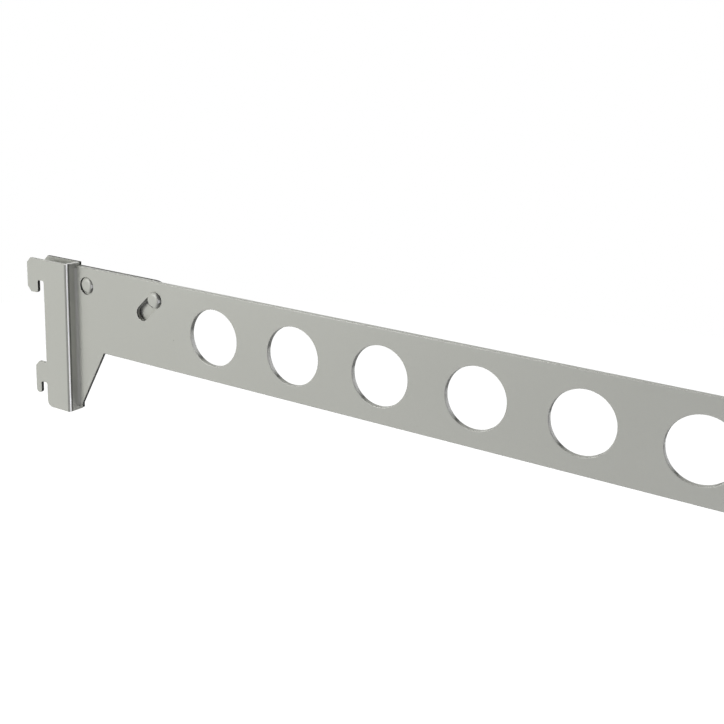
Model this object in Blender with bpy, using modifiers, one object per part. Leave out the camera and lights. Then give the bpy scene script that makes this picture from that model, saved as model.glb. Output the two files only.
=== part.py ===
"""Clothes rail that hooks between two slotted uprights.

A flat bar with round holes for garment hangers has a bent hook angle and a gusset welded to each end, flush
with its front face. Behind the bar a hook plate with an arm slides on two domed rivets. One rivet is fixed
in the plate and runs in a slanted slot of the bar, the other is fixed in the bar and guides the plate, so the
rear hooks can go further into the upright and down, and lock the rail there.

Metres, +Z up, +X along the bar, +Y to the rear. The origin is the centre of the whole object's box.
"""

import math

import bmesh
import bpy
from mathutils import Matrix, Vector

OBJECT_NAME = "clothes_rail"

# Clearances
SEAT_GAP = 0.0003
SLOT_CLEARANCE = 0.0003
HEAD_FROM_WELD = 0.0017

# Bar
RAIL_HEIGHT = 0.050
RAIL_THICKNESS = 0.0032
HOLE_DIAMETER = 0.032
HOLE_PITCH = 0.053
HOLE_COUNT = 8
FIRST_HOLE_FROM_SLOT_RIVET = 0.0424
BAR_ABOVE_SLOT = 0.0062
SLOT_RUN_OUT = 0.0032

# Bracket sheet
SHEET_THICKNESS = 0.0020
BEND_INSIDE_RADIUS = 0.0004
CHANNEL_WIDTH = 0.0134
CHANNEL_RISE_ABOVE_RAIL = 0.0020
FLANGE_DEPTH = 0.0190
FLANGE_BELOW_LOWER_NOTCH = 0.0150
FLANGE_FOOT_RADIUS = 0.0040

# Hooks, with the two heights one slot spacing of the upright apart
HOOK_SPACING = 0.064
HOOK_NOTCH_WIDTH = 0.0050
HOOK_NOTCH_RADIUS = 0.0010
UPPER_NOTCH_BELOW_RAIL_TOP = 0.0110
UPPER_FINGER_WIDTH = 0.0088
REAR_UPPER_FINGER_WIDTH = 0.0064
UPPER_FINGER_DROP = 0.0078
UPPER_FINGER_CHAMFER = 0.0030
LOWER_FINGER_WIDTH = 0.0044
LOWER_FINGER_DROP = 0.0075
LOWER_HOOK_RISE = 0.0130
LOWER_HOOK_CHAMFER = 0.0032
FINGER_TIP_RADIUS = 0.0020

# Arm of the hook plate, and how far the plate's edge stays back from the web's outer face
ARM_BEYOND_SLOT_RIVET = 0.0104
ARM_BELOW_SLOT = 0.0060
ARM_END_RADIUS = 0.014
PLATE_SETBACK = 0.0008

# Gusset below the bar
GUSSET_ABOVE_CHANNEL_BOTTOM = 0.0020
GUSSET_FOOT_WIDTH = 0.0025
GUSSET_FOOT_HEIGHT = 0.0026
GUSSET_ANGLE = math.radians(28.1)

# Weld bead in the corner of the web and the front faces of bar and gusset
WELD_LEG = 0.0018
WELD_END_MARGIN = 0.0010

# Rivets and the way that the hook plate slides on them
RIVET_SPACING = 0.053
RIVET_SHANK_DIAMETER = 0.0078
RIVET_HEAD_OVERHANG = 0.0014
RIVET_HEAD_RIM = 0.0004
RIVET_DOME_HEIGHT = 0.0016
RIVET_SHOULDER = 0.0009
RIVET_TAIL_OVERHANG = 0.0016
RIVET_TAIL_HEIGHT = 0.0014
GUIDE_DIAMETER = 0.0030
PLATE_ABOVE_GUIDE_SLOT = 0.0015
SLIDE_ANGLE = math.radians(45)

# Paint
SILVER_PAINT = (0.46, 0.47, 0.42)
WELD_PAINT = (0.44, 0.45, 0.41)
RIVET_PAINT = (0.47, 0.48, 0.44)
SHEET_ROUGHNESS = 0.42
WELD_ROUGHNESS = 0.48
RIVET_ROUGHNESS = 0.36
PAINT_METALLIC = 0.35

# Facets
CORNER_SEGMENTS = 5
WELD_SEGMENTS = 10
HOLE_SEGMENTS = 56
SLOT_SEGMENTS = 12
RIVET_STEPS = 36
DOME_SEGMENTS = 6

# Largest share of an edge that a rounded corner may take, beside a sharp corner and beside a round one
EDGE_SHARE_ALONE = 0.96
EDGE_SHARE_PAIRED = 0.48

# How far a cutter stands past what it cuts, and how close points have to be to become one
CUT_MARGIN = 0.005
MERGE_DISTANCE = 0.00001

# Depths, from the bar's front face to the rear
PLATE_FRONT = RAIL_THICKNESS + SEAT_GAP
PLATE_REAR = PLATE_FRONT + SHEET_THICKNESS
ANGLE_FRONT = PLATE_REAR - CHANNEL_WIDTH
WEB_REAR = PLATE_FRONT - SEAT_GAP
TAIL_FRONT = PLATE_REAR + SEAT_GAP
TAIL_REAR = TAIL_FRONT + RIVET_TAIL_HEIGHT

# Heights, from the bar's top edge upwards
SLOT_RADIUS = RIVET_SHANK_DIAMETER / 2 + SLOT_CLEARANCE
RIVET_HEIGHT = -BAR_ABOVE_SLOT - SLOT_RADIUS
GUIDE_SLOT_RADIUS = GUIDE_DIAMETER / 2 + SLOT_CLEARANCE
SLIDE_TRAVEL = (-RIVET_HEIGHT - PLATE_ABOVE_GUIDE_SLOT - GUIDE_SLOT_RADIUS) / math.sin(SLIDE_ANGLE)
SLOT_LENGTH = SLIDE_TRAVEL + SLOT_RUN_OUT
ARM_LOW = RIVET_HEIGHT - SLOT_LENGTH * math.sin(SLIDE_ANGLE) - SLOT_RADIUS - ARM_BELOW_SLOT
UPPER_NOTCH_TOP = -UPPER_NOTCH_BELOW_RAIL_TOP
LOWER_NOTCH_TOP = UPPER_NOTCH_TOP - HOOK_SPACING
CHANNEL_TOP = CHANNEL_RISE_ABOVE_RAIL
CHANNEL_BOTTOM = LOWER_NOTCH_TOP - FLANGE_BELOW_LOWER_NOTCH
GUSSET_TOP = -RAIL_HEIGHT - SEAT_GAP
GUSSET_BOTTOM = CHANNEL_BOTTOM + GUSSET_ABOVE_CHANNEL_BOTTOM
GUSSET_FOOT_TOP = GUSSET_BOTTOM + GUSSET_FOOT_HEIGHT

# Rivet radii
SHANK_RADIUS = RIVET_SHANK_DIAMETER / 2
HEAD_RADIUS = SHANK_RADIUS + RIVET_HEAD_OVERHANG
TENON_RADIUS = SHANK_RADIUS - RIVET_SHOULDER
GUIDE_RADIUS = GUIDE_DIAMETER / 2

# Places along the bar, from the outer face of the left angle's web towards the bar's middle
END_RIVET_FROM_WEB = SEAT_GAP + WELD_LEG + HEAD_FROM_WELD + HEAD_RADIUS
SLOT_RIVET_FROM_WEB = END_RIVET_FROM_WEB + RIVET_SPACING
ARM_END_FROM_WEB = SLOT_RIVET_FROM_WEB + ARM_BEYOND_SLOT_RIVET
FIRST_HOLE_FROM_WEB = SLOT_RIVET_FROM_WEB + FIRST_HOLE_FROM_SLOT_RIVET
HALF_SPAN = FIRST_HOLE_FROM_WEB + HOLE_PITCH * (HOLE_COUNT - 1) / 2

# The origin is moved to the centre of the box
BOX_CENTRE = Vector((0, (ANGLE_FRONT + TAIL_REAR) / 2, (CHANNEL_TOP + CHANNEL_BOTTOM) / 2))

# Flat outlines are drawn as (across, up) and stood up to face the front
STAND_UP = Matrix.Rotation(math.radians(90), 4, "X")
QUARTER_TURN = math.pi / 2

LEFT = -1
RIGHT = 1
SIDE_NAMES = {LEFT: "left", RIGHT: "right"}


def at(x, depth, height):
    """World place of a point given along the bar, back from its front face and up from its top edge."""
    return Vector((x, depth, height)) - BOX_CENTRE


def clear_scene():
    for obj in list(bpy.data.objects):
        bpy.data.objects.remove(obj)


def new_collection(name):
    collection = bpy.data.collections.new(name)
    bpy.context.scene.collection.children.link(collection)
    return collection


def paint(name, colour, roughness):
    material = bpy.data.materials.new(name)
    material.use_nodes = True
    shader = material.node_tree.nodes["Principled BSDF"]
    shader.inputs["Base Color"].default_value = (*colour, 1)
    shader.inputs["Roughness"].default_value = roughness
    shader.inputs["Metallic"].default_value = PAINT_METALLIC
    return material


def arc(centre, radius, start, end, segments):
    """Points on a circle from one angle to another, both ends included."""
    angles = [start + (end - start) * step / segments for step in range(segments + 1)]
    return [
        (centre[0] + radius * math.cos(angle), centre[1] + radius * math.sin(angle))
        for angle in angles
    ]


def circle(centre, radius, segments):
    return arc(centre, radius, 0, 2 * math.pi, segments)[:-1]


def edge_room(corner, neighbour):
    """Length that a rounded corner may take of the edge to its neighbour."""
    length = (Vector(neighbour[:2]) - Vector(corner[:2])).length
    return length * (EDGE_SHARE_PAIRED if neighbour[2] else EDGE_SHARE_ALONE)


def rounded(corners):
    """Closed outline through corners given as (across, up, radius), filleted as far as the edges allow."""
    points = []
    for index, (x, y, radius) in enumerate(corners):
        if radius == 0:
            points.append((x, y))
            continue
        previous = corners[index - 1]
        following = corners[(index + 1) % len(corners)]
        corner = Vector((x, y))
        before = (Vector(previous[:2]) - corner).normalized()
        after = (Vector(following[:2]) - corner).normalized()
        half_angle = before.angle(after) / 2
        room = min(edge_room(corners[index], previous), edge_room(corners[index], following))
        tangent = min(radius / math.tan(half_angle), room)
        fillet = tangent * math.tan(half_angle)
        centre = corner + (before + after).normalized() * fillet / math.sin(half_angle)
        first = corner + before * tangent - centre
        last = corner + after * tangent - centre
        start = math.atan2(first.y, first.x)
        turn = math.atan2(first.cross(last), first.dot(last))
        points += arc(centre, fillet, start, start + turn, CORNER_SEGMENTS)
    return points


def mirrored(points, side):
    """An outline drawn from the left angle's web, placed at one end of the bar."""
    return [(side * (HALF_SPAN - x), y) for x, y in points]


def flat_solid(name, outlines, thickness, collection, matrix):
    """A flat sheet or bar: the first outline is its edge and the others are holes in it."""
    curve = bpy.data.curves.new(name, "CURVE")
    curve.dimensions = "2D"
    curve.fill_mode = "BOTH"
    curve.extrude = thickness / 2
    for outline in outlines:
        spline = curve.splines.new("POLY")
        spline.points.add(len(outline) - 1)
        spline.use_cyclic_u = True
        for point, (x, y) in zip(spline.points, outline):
            point.co = (x, y, 0, 1)
    obj = bpy.data.objects.new(name, curve)
    obj.matrix_world = matrix
    collection.objects.link(obj)
    return obj


def as_mesh(curve_object):
    """The same solid as a welded mesh, ready for a Boolean."""
    bpy.context.view_layer.update()
    graph = bpy.context.evaluated_depsgraph_get()
    mesh = bpy.data.meshes.new_from_object(curve_object.evaluated_get(graph))
    edit = bmesh.new()
    edit.from_mesh(mesh)
    bmesh.ops.remove_doubles(edit, verts=edit.verts, dist=MERGE_DISTANCE)
    bmesh.ops.recalc_face_normals(edit, faces=edit.faces)
    edit.to_mesh(mesh)
    edit.free()
    name = curve_object.name
    collection = curve_object.users_collection[0]
    matrix = curve_object.matrix_world.copy()
    bpy.data.objects.remove(curve_object)
    obj = bpy.data.objects.new(name, mesh)
    obj.matrix_world = matrix
    collection.objects.link(obj)
    return obj


def standing(depth_front, depth_rear):
    """Matrix that stands a flat outline up between two depths."""
    return Matrix.Translation(at(0, (depth_front + depth_rear) / 2, 0)) @ STAND_UP


def lying(height_low, height_high):
    """Matrix that lays a flat outline level between two heights."""
    return Matrix.Translation(at(0, 0, (height_low + height_high) / 2))


def hook_corners(upper_finger_width):
    """The hooked edge of a flange, from its top down, as corners measured from the web's outer face."""
    edge = -FLANGE_DEPTH
    notch = edge - HOOK_NOTCH_WIDTH
    upper_tip = notch - upper_finger_width
    lower_tip = notch - LOWER_FINGER_WIDTH
    upper_end = UPPER_NOTCH_TOP - UPPER_FINGER_DROP
    lower_end = LOWER_NOTCH_TOP - LOWER_FINGER_DROP
    lower_top = LOWER_NOTCH_TOP + LOWER_HOOK_RISE
    return [
        (upper_tip + UPPER_FINGER_CHAMFER, CHANNEL_TOP, 0),
        (upper_tip, CHANNEL_TOP - UPPER_FINGER_CHAMFER, 0),
        (upper_tip, upper_end + UPPER_FINGER_CHAMFER, 0),
        (upper_tip + UPPER_FINGER_CHAMFER, upper_end, 0),
        (notch, upper_end, FINGER_TIP_RADIUS),
        (notch, UPPER_NOTCH_TOP, HOOK_NOTCH_RADIUS),
        (edge, UPPER_NOTCH_TOP, HOOK_NOTCH_RADIUS),
        (edge, lower_top, 0),
        (lower_tip + LOWER_HOOK_CHAMFER, lower_top, 0),
        (lower_tip, lower_top - LOWER_HOOK_CHAMFER, 0),
        (lower_tip, lower_end, FINGER_TIP_RADIUS),
        (notch, lower_end, FINGER_TIP_RADIUS),
        (notch, LOWER_NOTCH_TOP, HOOK_NOTCH_RADIUS),
        (edge, LOWER_NOTCH_TOP, HOOK_NOTCH_RADIUS),
        (edge, CHANNEL_BOTTOM, FLANGE_FOOT_RADIUS),
    ]


def slanted_slot(start, length, radius):
    """Closed slot with round ends, from its upper end towards the upright and down."""
    run = length * Vector((math.cos(SLIDE_ANGLE), math.sin(SLIDE_ANGLE)))
    below = SLIDE_ANGLE - QUARTER_TURN
    above = SLIDE_ANGLE + QUARTER_TURN
    upper = arc(start, radius, below, above, SLOT_SEGMENTS)
    lower = arc(Vector(start) - run, radius, above, below + 2 * math.pi, SLOT_SEGMENTS)
    return upper + lower


def rail_outline():
    """The bar's edge, square at both ends, up to the webs."""
    end = [(SEAT_GAP, 0), (SEAT_GAP, -RAIL_HEIGHT)]
    return mirrored(end, LEFT) + mirrored(end, RIGHT)[::-1]


def make_rail(collection, material):
    first = FIRST_HOLE_FROM_WEB - HALF_SPAN
    outlines = [rail_outline()]
    for index in range(HOLE_COUNT):
        centre = (first + index * HOLE_PITCH, -RAIL_HEIGHT / 2)
        outlines.append(circle(centre, HOLE_DIAMETER / 2, HOLE_SEGMENTS))
    slot = slanted_slot((SLOT_RIVET_FROM_WEB, RIVET_HEIGHT), SLOT_LENGTH, SLOT_RADIUS)
    rivet_hole = circle((END_RIVET_FROM_WEB, RIVET_HEIGHT), SHANK_RADIUS + SEAT_GAP, RIVET_STEPS)
    for side in (LEFT, RIGHT):
        outlines += [mirrored(slot, side), mirrored(rivet_hole, side)]
    rail = flat_solid("rail", outlines, RAIL_THICKNESS, collection, standing(0, RAIL_THICKNESS))
    rail.data.materials.append(material)
    return rail


def plate_outline():
    """Hook plate: hooked rear flange behind the web and an arm behind the bar."""
    arm = [
        (-PLATE_SETBACK, CHANNEL_BOTTOM, 0),
        (-PLATE_SETBACK, ARM_LOW, 0),
        (ARM_END_FROM_WEB, ARM_LOW, ARM_END_RADIUS),
        (ARM_END_FROM_WEB, 0, ARM_END_RADIUS),
        (-PLATE_SETBACK, 0, 0),
        (-PLATE_SETBACK, CHANNEL_TOP, 0),
    ]
    return rounded(hook_corners(REAR_UPPER_FINGER_WIDTH) + arm)


def make_hook_plate(side, collection, material):
    """The sliding plate, with a round hole for its own rivet and a slanted slot for the guide."""
    run = SLIDE_TRAVEL * Vector((math.cos(SLIDE_ANGLE), math.sin(SLIDE_ANGLE)))
    guide_end = Vector((END_RIVET_FROM_WEB, RIVET_HEIGHT)) + run
    guide_slot = slanted_slot(guide_end, SLIDE_TRAVEL, GUIDE_SLOT_RADIUS)
    rivet_hole = circle((SLOT_RIVET_FROM_WEB, RIVET_HEIGHT), TENON_RADIUS + SEAT_GAP, RIVET_STEPS)
    outlines = [mirrored(outline, side) for outline in (plate_outline(), guide_slot, rivet_hole)]
    name = f"{SIDE_NAMES[side]}_hook_plate"
    plate = flat_solid(name, outlines, SHEET_THICKNESS, collection, standing(PLATE_FRONT, PLATE_REAR))
    plate.data.materials.append(material)
    return plate


def make_gusset(side, collection, material):
    """Slanted plate below the bar, flush with its front face, with a narrow upright foot."""
    edge = SEAT_GAP + GUSSET_FOOT_WIDTH
    slope_run = (GUSSET_TOP - GUSSET_FOOT_TOP) * math.tan(GUSSET_ANGLE)
    outline = [
        (SEAT_GAP, GUSSET_TOP),
        (SEAT_GAP, GUSSET_BOTTOM),
        (edge, GUSSET_BOTTOM),
        (edge, GUSSET_FOOT_TOP),
        (edge + slope_run, GUSSET_TOP),
    ]
    name = f"{SIDE_NAMES[side]}_gusset"
    place = standing(0, SHEET_THICKNESS)
    gusset = flat_solid(name, [mirrored(outline, side)], SHEET_THICKNESS, collection, place)
    gusset.data.materials.append(material)
    return gusset


def make_hook_angle(side, collection, cutters, material):
    """The bent L: its level section is run up past the channel, then trimmed to the hooked outline."""
    far = -FLANGE_DEPTH - HOOK_NOTCH_WIDTH - UPPER_FINGER_WIDTH - CUT_MARGIN
    flange_rear = ANGLE_FRONT + SHEET_THICKNESS
    section = rounded(
        [
            (far, ANGLE_FRONT, 0),
            (0, ANGLE_FRONT, BEND_INSIDE_RADIUS + SHEET_THICKNESS),
            (0, WEB_REAR, 0),
            (-SHEET_THICKNESS, WEB_REAR, 0),
            (-SHEET_THICKNESS, flange_rear, BEND_INSIDE_RADIUS),
            (far, flange_rear, 0),
        ]
    )
    low = CHANNEL_BOTTOM - CUT_MARGIN
    high = CHANNEL_TOP + CUT_MARGIN
    name = f"{SIDE_NAMES[side]}_hook_angle"
    angle = as_mesh(
        flat_solid(name, [mirrored(section, side)], high - low, collection, lying(low, high))
    )
    angle.data.materials.append(material)

    past_web = [(CUT_MARGIN, CHANNEL_BOTTOM, 0), (CUT_MARGIN, CHANNEL_TOP, 0)]
    trim_outline = mirrored(rounded(hook_corners(UPPER_FINGER_WIDTH) + past_web), side)
    front = ANGLE_FRONT - CUT_MARGIN
    rear = WEB_REAR + CUT_MARGIN
    trim = as_mesh(
        flat_solid(f"{name}_trim", [trim_outline], rear - front, cutters, standing(front, rear))
    )
    trim.hide_render = True
    trim.display_type = "WIRE"

    cut = angle.modifiers.new("hooked outline", "BOOLEAN")
    cut.operation = "INTERSECT"
    cut.object = trim
    return angle


def make_weld(side, collection, material):
    """Hollow-faced bead down the corner where the web meets the bar and the gusset."""
    corner = (SEAT_GAP, -SEAT_GAP)
    face_centre = (SEAT_GAP + WELD_LEG, -SEAT_GAP - WELD_LEG)
    face = arc(face_centre, WELD_LEG, QUARTER_TURN, 2 * QUARTER_TURN, WELD_SEGMENTS)
    low = GUSSET_BOTTOM + WELD_END_MARGIN
    high = -WELD_END_MARGIN
    name = f"{SIDE_NAMES[side]}_weld"
    bead = flat_solid(name, [mirrored([corner] + face, side)], high - low, collection, lying(low, high))
    bead.data.materials.append(material)
    return bead


def rivet_profile(tenon_radius):
    """Half section of a rivet as (radius, forward), from the dome's crown down to the tail's crown."""
    head_under = SEAT_GAP
    head_rim = head_under + RIVET_HEAD_RIM
    shoulder = -RAIL_THICKNESS
    tail_radius = tenon_radius + RIVET_TAIL_OVERHANG
    turns = [QUARTER_TURN * step / DOME_SEGMENTS for step in range(DOME_SEGMENTS + 1)]
    dome = [
        (HEAD_RADIUS * math.sin(turn), head_rim + RIVET_DOME_HEIGHT * math.cos(turn))
        for turn in turns
    ]
    tail = [
        (tail_radius * math.cos(turn), -TAIL_FRONT - RIVET_TAIL_HEIGHT * math.sin(turn))
        for turn in turns[:-1]
    ]
    return (
        dome
        + [(HEAD_RADIUS, head_under), (SHANK_RADIUS, head_under), (SHANK_RADIUS, shoulder)]
        + [(tenon_radius, shoulder), (tenon_radius, -TAIL_FRONT)]
        + tail
        + [(0, -TAIL_REAR)]
    )


def make_rivet(side, kind, from_web, tenon_radius, collection, material):
    """Shouldered rivet: domed head in front, shank in the bar, tenon in the plate and tail behind it."""
    name = f"{SIDE_NAMES[side]}_{kind}_rivet"
    mesh = bpy.data.meshes.new(name)
    edit = bmesh.new()
    points = [edit.verts.new((radius, 0, forward)) for radius, forward in rivet_profile(tenon_radius)]
    for first, second in zip(points, points[1:]):
        edit.edges.new((first, second))
    edit.to_mesh(mesh)
    edit.free()
    mesh.materials.append(material)
    rivet = bpy.data.objects.new(name, mesh)
    collection.objects.link(rivet)
    rivet.matrix_world = Matrix.Translation(at(side * (HALF_SPAN - from_web), 0, RIVET_HEIGHT)) @ STAND_UP
    screw = rivet.modifiers.new("turned", "SCREW")
    screw.axis = "Z"
    screw.steps = RIVET_STEPS
    screw.render_steps = RIVET_STEPS
    screw.use_merge_vertices = True
    screw.merge_threshold = MERGE_DISTANCE
    screw.use_smooth_shade = True
    return rivet


def hold(name, place, pieces, collection):
    """An empty on a joint's axis that carries the pieces of one body."""
    holder = bpy.data.objects.new(name, None)
    holder.location = place
    collection.objects.link(holder)
    bpy.context.view_layer.update()
    for piece in pieces:
        piece.parent = holder
        piece.matrix_parent_inverse = holder.matrix_world.inverted()


def make_frame(collection, cutters, paints):
    """The welded frame: bar, hook angles, gussets and beads, with the end rivets fixed in the bar."""
    pieces = [make_rail(collection, paints["rail"])]
    for side in (LEFT, RIGHT):
        pieces += [
            make_hook_angle(side, collection, cutters, paints["angle"]),
            make_gusset(side, collection, paints["gusset"]),
            make_weld(side, collection, paints["weld"]),
            make_rivet(side, "end", END_RIVET_FROM_WEB, GUIDE_RADIUS, collection, paints["rivet"]),
        ]
    return pieces


def make_lock(side, collection, paints):
    """The sliding lock at one end: the rear hook plate and the rivet that is fixed in it."""
    return [
        make_hook_plate(side, collection, paints["plate"]),
        make_rivet(side, "slot", SLOT_RIVET_FROM_WEB, TENON_RADIUS, collection, paints["rivet"]),
    ]


def main():
    clear_scene()
    parts = new_collection(OBJECT_NAME)
    cutters = new_collection("cutters")
    cutters.hide_render = True
    paints = {
        "rail": paint("rail_silver_paint", SILVER_PAINT, SHEET_ROUGHNESS),
        "plate": paint("plate_silver_paint", SILVER_PAINT, SHEET_ROUGHNESS),
        "angle": paint("angle_silver_paint", SILVER_PAINT, SHEET_ROUGHNESS),
        "gusset": paint("gusset_silver_paint", SILVER_PAINT, SHEET_ROUGHNESS),
        "weld": paint("weld_silver_paint", WELD_PAINT, WELD_ROUGHNESS),
        "rivet": paint("rivet_silver_paint", RIVET_PAINT, RIVET_ROUGHNESS),
    }
    hold("rail_frame_body", Vector(), make_frame(parts, cutters, paints), parts)
    for side in (LEFT, RIGHT):
        slide_axis = at(side * (HALF_SPAN - SLOT_RIVET_FROM_WEB), 0, RIVET_HEIGHT)
        hold(f"{SIDE_NAMES[side]}_lock_slide_axis", slide_axis, make_lock(side, parts, paints), parts)


main()
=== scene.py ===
"""Hook-in clothes rail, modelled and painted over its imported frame.

The bar, the bent hook angles, the gussets, the weld beads, the sliding hook plates and the rivets take their
places from the frame. They are painted satin silver-grey and shown on a white stage from the front right.
"""

import math
from contextlib import contextmanager

import bmesh
import bpy
from bpy.props import FloatProperty, FloatVectorProperty, IntProperty, PointerProperty
from bpy.types import Operator, Panel, PropertyGroup
from mathutils import Matrix, Vector


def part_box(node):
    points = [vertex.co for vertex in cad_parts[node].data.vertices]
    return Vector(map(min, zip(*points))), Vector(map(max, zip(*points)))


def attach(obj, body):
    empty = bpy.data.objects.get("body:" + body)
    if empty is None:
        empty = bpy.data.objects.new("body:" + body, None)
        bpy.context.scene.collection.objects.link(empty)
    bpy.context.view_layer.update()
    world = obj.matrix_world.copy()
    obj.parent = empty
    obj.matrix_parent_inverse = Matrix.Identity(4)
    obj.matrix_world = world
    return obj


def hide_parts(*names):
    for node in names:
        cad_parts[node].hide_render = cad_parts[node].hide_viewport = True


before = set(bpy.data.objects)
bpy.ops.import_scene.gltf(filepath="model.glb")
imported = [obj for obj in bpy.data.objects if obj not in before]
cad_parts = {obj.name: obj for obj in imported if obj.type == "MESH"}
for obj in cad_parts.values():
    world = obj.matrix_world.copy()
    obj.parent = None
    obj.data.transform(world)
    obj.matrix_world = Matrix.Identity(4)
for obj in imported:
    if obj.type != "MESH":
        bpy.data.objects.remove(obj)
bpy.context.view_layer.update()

bl_info = {
    "name": "Hook-in Clothes Rail",
    "version": (1, 0, 0),
    "blender": (4, 5, 0),
    "location": "3D View > Sidebar > Clothes Rail",
    "description": "Models and paints a perforated clothes rail with hooked ends over its packed frame",
    "category": "Object",
}

# Places that the frame gives: those of the bar and of the left end, which the right end mirrors
RAIL_LOW, RAIL_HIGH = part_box("rail")
ANGLE_LOW, ANGLE_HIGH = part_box("left_hook_angle")
PLATE_LOW, PLATE_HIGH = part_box("left_hook_plate")
GUSSET_LOW, GUSSET_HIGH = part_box("left_gusset")
WELD_LOW, WELD_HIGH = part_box("left_weld")
END_RIVET_LOW, END_RIVET_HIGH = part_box("left_end_rivet")
SLOT_RIVET_LOW, SLOT_RIVET_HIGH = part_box("left_slot_rivet")
RAIL_MIDDLE = (RAIL_LOW + RAIL_HIGH) / 2
RAIL_TOP = RAIL_HIGH.z
RAIL_FRONT = RAIL_LOW.y
RAIL_REAR = RAIL_HIGH.y
RAIL_DEPTH = RAIL_REAR - RAIL_FRONT
WEB_FACE = ANGLE_HIGH.x
END_RIVET = (END_RIVET_LOW + END_RIVET_HIGH) / 2
SLOT_RIVET = (SLOT_RIVET_LOW + SLOT_RIVET_HIGH) / 2

# Ends of the hooked sheets, up from the bar's top edge
HOOKS_TOP = ANGLE_HIGH.z - RAIL_TOP
HOOKS_BOTTOM = ANGLE_LOW.z - RAIL_TOP

ACROSS = Vector((1, 0, 0))
REARWARD = Vector((0, 1, 0))
UP = Vector((0, 0, 1))
QUARTER_TURN = math.pi / 2

# The plane that an outline starts from, the distance that counts as none, and what a cutter stands out
START_SIZE = 0.01
MERGE_DISTANCE = 0.00001
CUT_MARGIN = 0.004

# Steps and sides of round shapes
ARC_STEPS = 10
BEND_STEPS = 12
ROUND_STEPS = 3
TURN_STEPS = 128
HOLE_SIDES = 128
SLOT_SIDES = 96
FLOOR_SIDES = 96

# Angles from which an edge is rounded, and up to which it is shaded smooth
SHARP_ANGLE = math.radians(35)
SMOOTH_ANGLE = math.radians(40)

# Largest share of an edge that a rounded corner may take, beside a sharp corner and beside a round one
EDGE_SHARE_ALONE = 0.96
EDGE_SHARE_PAIRED = 0.48

# How much of a face's normal lies along an axis: hardly any, a little, most and nearly all
WALL_TURN = 0.05
SLIGHT_TURN = 0.3
FACING = 0.7
RIM_TURN = 0.85

# Shares of painted shade: in the bar's openings and along its foot, on the rivets and on the bend
SLOT_SHADE = 0.35
RIM_SHADE = 1.0
HOLE_SHADE = 0.7
FOOT_SHADE = 0.75
RIVET_SHADE = 0.8
WEB_SHADE = 0.7
FLANGE_SHADE = 0.4

# Shares of painted highlight, as bare metal, in the holes, on the rivets and on the webs' top edges
HOLE_HIGHLIGHT = 0.52
RIVET_HIGHLIGHT = 0.45
WEB_TOP_HIGHLIGHT = 0.45

# Share of the bare-metal mask, painted highlights and chafing, from which an edge is as rough as bare metal
WORN_SHARE = 0.3

# Depth of the painted shadow strip at the rear of the slots' walls
SLOT_STRIP = 0.0010

# How far up a hole's wall turns in its painted highlight, and how far past that its painted highlight and
# shade fade in and out
HOLE_HIGHLIGHT_TURN = 0.32
HOLE_HIGHLIGHT_IN = (-0.5, 0)
HOLE_HIGHLIGHT_OUT = (0.25, 0.5)
HOLE_SHADE_IN = (0.36, 0.46)
HOLE_SHADE_OUT = (0.5, 0.6)

# Shares of the bend's turn where its painted shade starts and its painted highlight line lies, and the
# shaded strip beside it
BEND_START = 0.1
LINE_START = 0.58
LINE_END = 0.90
STRIP_WIDTH = 0.0011

# How far a rivet's faces turn where its head ends, on its painted shade side, under its rim's painted shadow
# and at its painted highlight
HEAD_END = 0.1
DARK_SIDE_IN = (0.15, 0.45)
RIM_SIDE = -0.05
RIM_DOWN = -0.15
RIM_FRONT = -0.94
SPOT_SIDE = 0.35
SPOT_RISE = 0.14

# Sizes in the paint: its fine waves, metal flecks, drifts of tone and worn patches
PEEL_SIZE = 0.0016
FLECK_SIZE = 0.0002
DRIFT_SIZE = 0.08
PATCH_SIZE = 0.004

# Small specks in the paint: the cells they are scattered over, their size and the share of cells with one
SPECK_SPACING = 0.018
SPECK_SIZE = 0.0004
SPECK_SHARE = 0.35

# Parts of a noise's range that bring up flecks, drifts of tone, patches and chafed spots
WHOLE_RANGE = (0, 1)
FLECK_RANGE = (0.55, 0.75)
DRIFT_RANGE = (0.3, 0.7)
PATCH_RANGE = (0.3, 0.7)
CHAFE_RANGE = (0.45, 0.65)

# What the patches leave at least of dark cut edges and painted shade, and of painted highlights, and chafe
# off rounded edges at most
CUT_AND_SHADE_LEAST = 0.8
SHINE_LEAST = 0.85
CHAFE_MOST = 0.02

# A Mix node's sockets for colours
MIX_AMOUNT = 0
MIX_FIRST = 6
MIX_SECOND = 7
MIX_RESULT = 2

# The lights: the point they face, and their widths and heights
LIGHT_AIM = Vector((-0.20, 0, 0))
KEY_SIZE = (0.6, 0.7)
TOP_SIZE = (1.2, 0.6)
STRIP_SIZE = (0.08, 0.20)
REAR_SIZE = (1.8, 0.45)
WHITE = (1, 1, 1)


def length(label, description, default):
    return FloatProperty(name=label, description=description, default=default, unit="LENGTH", precision=5)


def share(label, description, default):
    return FloatProperty(
        name=label, description=description, default=default, subtype="FACTOR", min=0, max=1
    )


def angle(label, description, degrees):
    default = math.radians(degrees)
    return FloatProperty(name=label, description=description, default=default, subtype="ANGLE")


def colour(label, description, default):
    return FloatVectorProperty(
        name=label, description=description, default=default, subtype="COLOR", min=0, max=1
    )


def power(label, description, default):
    return FloatProperty(name=label, description=description, default=default, subtype="POWER")


def place(label, description, default):
    return FloatVectorProperty(name=label, description=description, default=default, subtype="TRANSLATION")


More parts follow.
